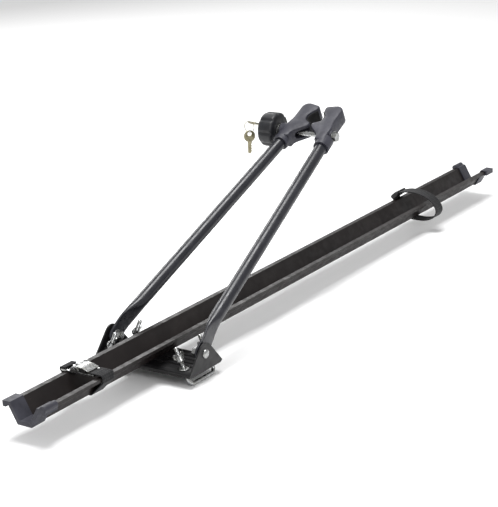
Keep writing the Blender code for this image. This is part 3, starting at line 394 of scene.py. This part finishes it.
# %% Woven webbing
def woven_webbing(name, yarn=0.0011):
    finish = Finish(name, 0.82, specular=0.3)
    finish.shader.inputs["Sheen Weight"].default_value = 0.08
    finish.shader.inputs["Sheen Roughness"].default_value = 0.5
    waves = []
    for stretch in ((1, 0, 0), (0, 1, 1)):
        wave = finish.add("ShaderNodeTexWave", wave_type="BANDS", bands_direction="DIAGONAL")
        wave.inputs["Scale"].default_value = 0.159 / yarn
        wave.inputs["Distortion"].default_value = 0.4
        finish.link(finish.stretched(stretch), wave.inputs["Vector"])
        waves.append(wave.outputs["Fac"])
    weave = finish.add("ShaderNodeMath", operation="MULTIPLY")
    for socket, wave in zip(weave.inputs, waves):
        finish.link(wave, socket)
    # The weave also sets the colour: darker where the weave is low, a painted shade in the hollows between
    # the yarns, lighter on their crests.
    yarn_shade = finish.between(weave.outputs[0], 0, 1, 0, 0.8)
    finish.colour(finish.blend(yarn_shade, (0.0035, 0.0035, 0.0040), (0.0150, 0.0150, 0.0175)))
    finish.roughness(finish.between(finish.noise(0.004, 3), 0.72, 0.92))
    finish.bump(weave.outputs[0], 0.00025, 0.8)
    finish.bump(finish.noise(0.0002, 2), 0.00004)
    return finish.material


FINISHES["webbing"] = woven_webbing("webbing")
print(len(FINISHES), "finishes in all")

# %% [markdown]
# ## Edges
#
# The mechanical model has knife edges and flat facets, which catch no light. A refined copy of
# a piece keeps its shape and gets three things: its doubled points are welded, its edges get a
# small round of their own, and its smooth stretches are shaded smooth. The copy stands for the
# piece, rides on the same body and takes the same finish.


# %% A refined copy of a mechanical piece
def dress(piece, node, *others):
    """Puts a piece in the place of mechanical nodes: body, slot and finish come from the first."""
    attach(piece, nodes[node]["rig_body"])
    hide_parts(node, *others)
    piece.data.materials.clear()
    piece.data.materials.append(FINISHES[slot_of[node]])
    return piece


def refine(node, edge, smooth=32):
    mesh = nodes[node].data.copy()
    mesh.name = f"{node}_fine"
    work = bmesh.new()
    work.from_mesh(mesh)
    bmesh.ops.remove_doubles(work, verts=work.verts, dist=3e-6)
    bmesh.ops.dissolve_limit(work, angle_limit=radians(0.6), verts=work.verts, edges=work.edges)
    work.to_mesh(mesh)
    work.free()
    mesh.shade_smooth()
    mesh.set_sharp_from_angle(angle=radians(smooth))
    piece = bpy.data.objects.new(f"{node}_fine", mesh)
    bpy.context.scene.collection.objects.link(piece)
    bevel = piece.modifiers.new("round", "BEVEL")
    bevel.width = edge
    bevel.segments = 3
    bevel.limit_method = "ANGLE"
    bevel.angle_limit = radians(smooth)
    bevel.harden_normals = False
    return dress(piece, node)


SHEET_EDGE = 0.0004
MOULDED_EDGE = 0.0006
MACHINED_EDGE = 0.0002

ROUNDED = {
    "wheel_tray": SHEET_EDGE,
    "near_end_cap": MOULDED_EDGE,
    "far_end_cap": MOULDED_EDGE,
    "base_bracket": SHEET_EDGE,
    "bar_pad": MOULDED_EDGE,
    "near_arm": SHEET_EDGE,
    "far_arm": SHEET_EDGE,
    "near_jaw": MOULDED_EDGE,
    "far_jaw": MOULDED_EDGE,
    "near_jaw_pad": SHEET_EDGE,
    "far_jaw_pad": SHEET_EDGE,
    "buckle_frame": SHEET_EDGE,
    "buckle_lever": MACHINED_EDGE,
    "far_strap_slider": MOULDED_EDGE,
    "lock_barrel": MACHINED_EDGE,
    "lock_key": MACHINED_EDGE,
    "spare_key": MACHINED_EDGE,
}
for node, edge in ROUNDED.items():
    refine(node, edge)
print(len(ROUNDED), "pieces rounded")

# %% [markdown]
# ## Small hardware
#
# Washers, nuts, wing nuts and bolts are many and alike, so a loop refines them. Their edges
# are rounded by a tenth or two of a millimetre, which is enough for a bright line of light.

# %% Washers, nuts and bolts
THREADED = ["near_u_bolt", "far_u_bolt"]
HARDWARE = [
    node
    for node, slot in slot_of.items()
    if slot in ("zinc", "bush_plastic") and node not in ROUNDED and node not in THREADED
]
for node in HARDWARE:
    refine(node, MACHINED_EDGE)
refine("key_ring", MACHINED_EDGE, 60)
print(len(HARDWARE) + 1, "pieces of hardware, with the key ring")

# %% [markdown]
# ## Threads on the U-bolts
#
# A U-bolt is a rod bent to a U, with thread rolled on the upper part of both legs. The thread
# could be a bump, but its crests show against the light, so it is real geometry. Each leg is a
# grid of points: the radius at each point falls from crest to root and back once per pitch, and
# the phase turns with the angle, which makes a true helix.


# %% Skins over rings of points
def skin(work, rings, closed=False):
    """Joins each ring of points to the next, and closes the ends unless the rings run round."""
    for first, second in zip(rings, rings[1:] + rings[:1] if closed else rings[1:]):
        for j in range(len(first)):
            k = (j + 1) % len(first)
            work.faces.new((first[j], first[k], second[k], second[j]))
    if not closed:
        work.faces.new(rings[0])
        work.faces.new(rings[-1])


def piece_of(work, name, sharp=None):
    """Makes the finished work a piece; faces that meet at over sharp degrees keep their edge."""
    bmesh.ops.recalc_face_normals(work, faces=work.faces)
    mesh = bpy.data.meshes.new(name)
    work.to_mesh(mesh)
    work.free()
    mesh.shade_smooth()
    if sharp:
        mesh.set_sharp_from_angle(angle=radians(sharp))
    piece = bpy.data.objects.new(name, mesh)
    bpy.context.scene.collection.objects.link(piece)
    return piece


# %% A rod that follows a path
def tube(name, path, radius_at, sides):
    """Rings of points round a path; radius_at gives the radius from distance and angle."""
    work = bmesh.new()
    side = Vector((0, 1, 0))
    travelled = 0
    rings = []
    for i, point in enumerate(path):
        if i:
            travelled += (point - path[i - 1]).length
        ahead = (path[min(i + 1, len(path) - 1)] - path[max(i - 1, 0)]).normalized()
        side = (side - ahead * side.dot(ahead)).normalized()
        other = ahead.cross(side)
        ring = []
        for j in range(sides):
            angle = 2 * pi * j / sides
            radius = radius_at(travelled, angle)
            ring.append(work.verts.new(point + (side * cos(angle) + other * sin(angle)) * radius))
        rings.append(ring)
    skin(work, rings)
    return piece_of(work, name, 50)


# %% Threaded U-bolts
STUD_RADIUS = 0.003
STUD_SPACING = 0.058
STUD_HEIGHT = 0.056
STUD_BEND = 0.007
STUD_LEAN = radians(25)
THREAD_PITCH = 0.001
THREAD_DEPTH = 0.0005
THREAD_LENGTH = 0.030
TIP_CHAMFER = 0.0012


def u_bolt_path(step):
    """One leg down, the bar across and the other leg up, in the bolt's own frame."""
    half = STUD_SPACING / 2
    threaded = int(THREAD_LENGTH / step)
    leg = [Vector((-half, 0, STUD_HEIGHT - i * step)) for i in range(threaded)]
    plain = [STUD_HEIGHT - THREAD_LENGTH, (STUD_HEIGHT - THREAD_LENGTH + STUD_BEND) / 2]
    leg += [Vector((-half, 0, height)) for height in plain]
    for i in range(13):
        bend = pi / 2 * i / 12
        leg.append(Vector((-half + STUD_BEND * (1 - cos(bend)), 0, STUD_BEND * (1 - sin(bend)))))
    return leg + [Vector((-point.x, 0, point.z)) for point in reversed(leg)]


def threaded_u_bolt(node, side):
    path = u_bolt_path(THREAD_PITCH / 8)
    length = sum((b - a).length for a, b in zip(path, path[1:]))

    def radius_at(distance, angle):
        from_tip = min(distance, length - distance)
        if from_tip > THREAD_LENGTH:
            return STUD_RADIUS
        turn = (from_tip / THREAD_PITCH + angle / (2 * pi)) % 1
        fade = min(1, (THREAD_LENGTH - from_tip) / (2 * THREAD_PITCH))
        groove = THREAD_DEPTH * abs(2 * turn - 1) * fade
        return min(STUD_RADIUS - groove, STUD_RADIUS - TIP_CHAMFER + from_tip)

    piece = tube(f"{node}_threaded", path, radius_at, 28)
    low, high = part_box(node)
    lean = Matrix.Rotation(side * STUD_LEAN, 4, "X")
    up = lean @ Vector((0, 0, 1))
    bar_y = low.y + STUD_RADIUS if side < 0 else high.y - STUD_RADIUS
    foot = Vector((0, bar_y, low.z + STUD_RADIUS))
    piece.data.transform(Matrix.Translation(foot) @ lean)
    turns = round(THREAD_LENGTH / THREAD_PITCH)
    print(node, "legs lean to", [round(v, 2) for v in up], "with", turns, "turns of thread")
    return dress(piece, node)


threaded_u_bolt("near_u_bolt", -1)
threaded_u_bolt("far_u_bolt", 1)

# %% [markdown]
# ## The knob
#
# The clamp knob is a moulded cylinder with eight finger grooves. A turned shape has the same
# radius all round, so the grooves come from making the radius depend on the angle: a raised
# cosine, cubed, dips narrowly eight times a turn. The grooves fade out at the domed front rim.
# Behind, a bore takes the plated sleeve nut that turns with the knob.

# %% Knob profile
knob_low, knob_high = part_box("clamp_knob")
KNOB_RADIUS = (knob_high.x - knob_low.x) / 2
KNOB_MIDDLE = (knob_low + knob_high) / 2
KNOB_LENGTH = knob_high.y - knob_low.y
KNOB_GROOVES = 8
KNOB_GROOVE_DEPTH = 0.0019
NUT_BORE = 0.0068
NUT_BORE_DEPTH = 0.0123
KNOB_SIDES = 192

knob_profile = [
    (NUT_BORE_DEPTH, 0.0001, 0),
    (NUT_BORE_DEPTH, NUT_BORE, 0),
    (0.0004, NUT_BORE, 0),
    (0.0, NUT_BORE + 0.0006, 0),
    (0.0, KNOB_RADIUS * 0.86, 0),
    (0.0003, KNOB_RADIUS * 0.90, 0.3),
    (0.0012, KNOB_RADIUS * 0.965, 0.7),
    (0.0026, KNOB_RADIUS * 0.998, 1),
    (0.0045, KNOB_RADIUS, 1),
    (KNOB_LENGTH * 0.45, KNOB_RADIUS * 0.998, 1),
    (KNOB_LENGTH - 0.0052, KNOB_RADIUS * 0.992, 1),
    (KNOB_LENGTH - 0.0030, KNOB_RADIUS * 0.975, 0.9),
    (KNOB_LENGTH - 0.0014, KNOB_RADIUS * 0.935, 0.6),
    (KNOB_LENGTH - 0.0005, KNOB_RADIUS * 0.88, 0.25),
    (KNOB_LENGTH - 0.0001, KNOB_RADIUS * 0.83, 0.05),
    (KNOB_LENGTH, KNOB_RADIUS * 0.78, 0),
    (KNOB_LENGTH, KNOB_RADIUS * 0.66, 0),
    (KNOB_LENGTH - 0.0007, KNOB_RADIUS * 0.635, 0),
    (KNOB_LENGTH - 0.0007, KNOB_RADIUS * 0.605, 0),
    (KNOB_LENGTH, KNOB_RADIUS * 0.58, 0),
    (KNOB_LENGTH, 0.0001, 0),
]

# %% Knob
work = bmesh.new()
rings = []
for along, radius, lobed in knob_profile:
    ring = []
    for i in range(KNOB_SIDES):
        angle = 2 * pi * i / KNOB_SIDES
        dip = max(0, cos(KNOB_GROOVES * angle)) ** 3 * KNOB_GROOVE_DEPTH * lobed
        x = KNOB_MIDDLE.x + (radius - dip) * cos(angle)
        z = KNOB_MIDDLE.z + (radius - dip) * sin(angle)
        ring.append(work.verts.new((x, knob_low.y + along, z)))
    rings.append(ring)
skin(work, rings)
knob = piece_of(work, "knob_grip")

lock_low, lock_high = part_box("lock_barrel")
LOCK_CLEARANCE = 0.0003
LOCK_CUT_LENGTH = 0.05
lock_middle = (lock_low + lock_high) / 2
bpy.ops.mesh.primitive_cylinder_add(
    vertices=64,
    radius=(lock_high.x - lock_low.x) / 2 + LOCK_CLEARANCE,
    depth=LOCK_CUT_LENGTH,
    location=(lock_middle.x, lock_low.y - LOCK_CLEARANCE + LOCK_CUT_LENGTH / 2, lock_middle.z),
    rotation=(pi / 2, 0, 0),
)
lock_hole = bpy.context.object
cut = knob.modifiers.new("lock_hole", "BOOLEAN")
cut.object = lock_hole
bpy.context.view_layer.update()
bored = bpy.data.meshes.new_from_object(knob.evaluated_get(bpy.context.evaluated_depsgraph_get()))
knob.modifiers.clear()
knob.data = bored
bpy.data.objects.remove(lock_hole)
bored.shade_smooth()
bored.set_sharp_from_angle(angle=radians(40))
dress(knob, "clamp_knob")
print("knob is", round(KNOB_RADIUS * 2000, 1), "mm across and", round(KNOB_LENGTH * 1000, 1), "mm long")

# %% [markdown]
# ## Straps
#
# The straps are flat nylon webbing, 25 mm wide. A sheet bent round a path would look like
# rubber, because webbing has thick woven edges and a slightly hollow middle. The section below
# has both, and it is swept round a smooth path with the same clearance that the real strap has
# where it lies against the tray. One strap runs under the tray through the cam buckle. The
# other hangs slack, as it does with no wheel in the tray.


# %% Webbing section and sweep
WEBBING_WIDTH = 0.025
WEBBING_THICK = 0.0019


def webbing_section():
    """Half-thickness against place across the strap: round edges, full selvedges, hollow middle."""
    half = WEBBING_WIDTH / 2
    thick = WEBBING_THICK / 2
    upper = [(-half, 0), (-half + 0.0003, thick * 0.75), (-half + 0.0010, thick)]
    upper += [(-half + 0.0022, thick * 0.86), (0, thick * 0.80), (half - 0.0022, thick * 0.86)]
    upper += [(half - 0.0010, thick), (half - 0.0003, thick * 0.75), (half, 0)]
    return upper + [(across, -rise) for across, rise in upper[-2:0:-1]]


def round_path(points, sizes, steps=6):
    """A path of (y, z) with each corner rounded by its own size."""
    smooth = []
    for i, corner in enumerate(points):
        corner = Vector(corner)
        if not sizes[i]:
            smooth.append(corner)
            continue
        before = Vector(points[i - 1]) - corner
        after = Vector(points[(i + 1) % len(points)]) - corner
        size = min(sizes[i], before.length * 0.49, after.length * 0.49)
        start = corner + before.normalized() * size
        end = corner + after.normalized() * size
        for j in range(steps + 1):
            t = j / steps
            smooth.append((1 - t) ** 2 * start + 2 * t * (1 - t) * corner + t * t * end)
    return smooth


def strap(name, path, x, closed):
    work = bmesh.new()
    section = webbing_section()
    rings = []
    for i, point in enumerate(path):
        ahead = path[(i + 1) % len(path)] - path[i - 1]
        if not closed:
            ahead = path[min(i + 1, len(path) - 1)] - path[max(i - 1, 0)]
        away = Vector((-ahead.y, ahead.x)).normalized()
        ring = []
        for across, rise in section:
            place = point + away * rise
            ring.append(work.verts.new((x + across, place.x, place.y)))
        rings.append(ring)
    skin(work, rings, closed)
    return piece_of(work, name, 60)


print("webbing section has", len(webbing_section()), "points")

# %% Buckled strap
tray_low, tray_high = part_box("wheel_tray")
near_low, near_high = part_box("near_strap")
buckle_low, buckle_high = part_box("buckle_frame")
GAP = 0.0003
BUCKLE_SHEET = 0.002
WEBBING_TAIL = 0.007
TRAY_FLOOR = 0.021
TRAY_SHEET = 0.0015
TRAY_HEM = 0.003

STRAP_SHEET = 0.002

away = STRAP_SHEET / 2 + GAP
over = buckle_low.z + BUCKLE_SHEET + away
under_lip = tray_high.z - TRAY_HEM - 2 * TRAY_SHEET - GAP
lip = tray_high.y + away + GAP
far_side = max(tray_high.y, buckle_high.y) + away + GAP
near_points = [
    (buckle_low.y + WEBBING_TAIL, over),
    (buckle_low.y, over),
    (-lip, over),
    (-lip, under_lip),
    (-TRAY_FLOOR / 2 - STRAP_SHEET / 2, tray_low.z - away),
    (TRAY_FLOOR / 2 + STRAP_SHEET / 2, tray_low.z - away),
    (lip, under_lip),
    (far_side, tray_high.z),
    (far_side, over),
    (buckle_high.y - WEBBING_TAIL, over),
]
near_path = round_path(near_points, [0, 0.002, 0.004, 0.002, 0.002, 0.002, 0.003, 0.003, 0.0015, 0])
near_x = (near_low.x + near_high.x) / 2
near_strap = strap("near_webbing", near_path, near_x, False)
dress(near_strap, "near_strap")
print("buckled strap runs through", len(near_path), "points")

# %% Slack strap
far_low, far_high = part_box("far_strap")
far_points = [
    (tray_high.y + 0.0025, tray_high.z - 0.004),
    (tray_high.y - 0.001, tray_high.z + 0.008),
    (0.012, tray_high.z + 0.0155),
    (-0.014, tray_high.z + 0.0155),
    (-0.038, tray_high.z + 0.006),
    (-0.0495, tray_high.z - 0.010),
    (-0.044, tray_low.z + 0.002),
    (-0.028, tray_low.z - 0.005),
    (-0.008, tray_low.z - 0.006),
    (0.012, tray_low.z - 0.003),
    (0.026, tray_low.z + 0.007),
]


def smooth_loop(points, steps):
    """A closed Catmull-Rom curve."""
    loop = []
    for i in range(len(points)):
        before, here, there, after = (Vector(points[(i + k - 1) % len(points)]) for k in range(4))
        for j in range(steps):
            t = j / steps
            even = 2 * here + (there - before) * t
            bend = (2 * before - 5 * here + 4 * there - after) * t**2
            twist = (3 * here - before - 3 * there + after) * t**3
            loop.append(0.5 * (even + bend + twist))
    return loop


far_path = smooth_loop(far_points, 10)
far_x = (far_low.x + far_high.x) / 2
far_strap = strap("far_webbing", far_path, far_x, True)
dress(far_strap, "far_strap")
far_round = sum((b - a).length for a, b in zip(far_path, far_path[1:] + far_path[:1]))
print("slack strap is", round(far_round * 1000), "mm round")

# %% [markdown]
# ### Stitches
#
# Webbing that loops round a bar is sewn back on itself. The rows of stitches are what tells the
# eye that it is cloth. Each stitch is a short thread with round ends that dips into the
# webbing, and a loop sets them in three rows beside one end of the buckle and one at the other.


# %% Stitches
STITCH_PITCH = 0.0026
STITCH_LENGTH = 0.0019
THREAD_RADIUS = 0.00035
STITCH_MARGIN = 0.002  # of plain webbing beside each row


def stitch_rows(name, x, rows, surface):
    """Rows of short thread across the strap; rows are the y of each, surface the height."""
    work = bmesh.new()
    pitch, length, thread = STITCH_PITCH, STITCH_LENGTH, THREAD_RADIUS
    count = int((WEBBING_WIDTH - 2 * STITCH_MARGIN) / pitch)
    for y in rows:
        for i in range(count):
            middle = x + (i - (count - 1) / 2) * pitch
            rings = []
            for j in range(9):
                share = -1 + j / 4
                radius = thread * sqrt(max(0.05, 1 - share**2 * 0.9))
                rise = surface + thread * 0.9 * (1 - share**2) - thread * 0.6
                ring = []
                for k in range(8):
                    angle = 2 * pi * k / 8
                    place = (middle + share * length / 2, y + radius * cos(angle), rise + radius * sin(angle))
                    ring.append(work.verts.new(place))
                rings.append(ring)
            skin(work, rings)
    return piece_of(work, name)


thread_finish = Finish("thread", 0.7, specular=0.3)
thread_tone = thread_finish.between(thread_finish.noise(0.0004, 3), 0, 1)
thread_finish.colour(thread_finish.blend(thread_tone, (0.012, 0.012, 0.014), (0.036, 0.036, 0.042)))
thread_finish.bump(thread_finish.noise(0.00015, 2, (4, 1, 1)), 0.00003)

top = over + WEBBING_THICK / 2 * 0.82
STITCH_GAP = 0.0025
rows = [buckle_low.y - STITCH_GAP * (i + 1) for i in range(3)] + [buckle_high.y - 2 * STITCH_GAP]
stitches = stitch_rows("strap_stitches", near_x, rows, top)
stitches.data.materials.append(thread_finish.material)
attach(stitches, "carrier_base")
print(len(rows), "rows of stitches")

# %% [markdown]
# ## What is left
#
# Every mechanical node that nothing stands for still needs its finish. The loop below gives
# one to each, and prints their names, so that none is ever left in flat grey.

# %% Finish for the rest
left = [name for name, obj in nodes.items() if not obj.hide_render]
for name in left:
    nodes[name].data.materials.clear()
    nodes[name].data.materials.append(FINISHES[slot_of[name]])
print("nodes shown as they are:", left)
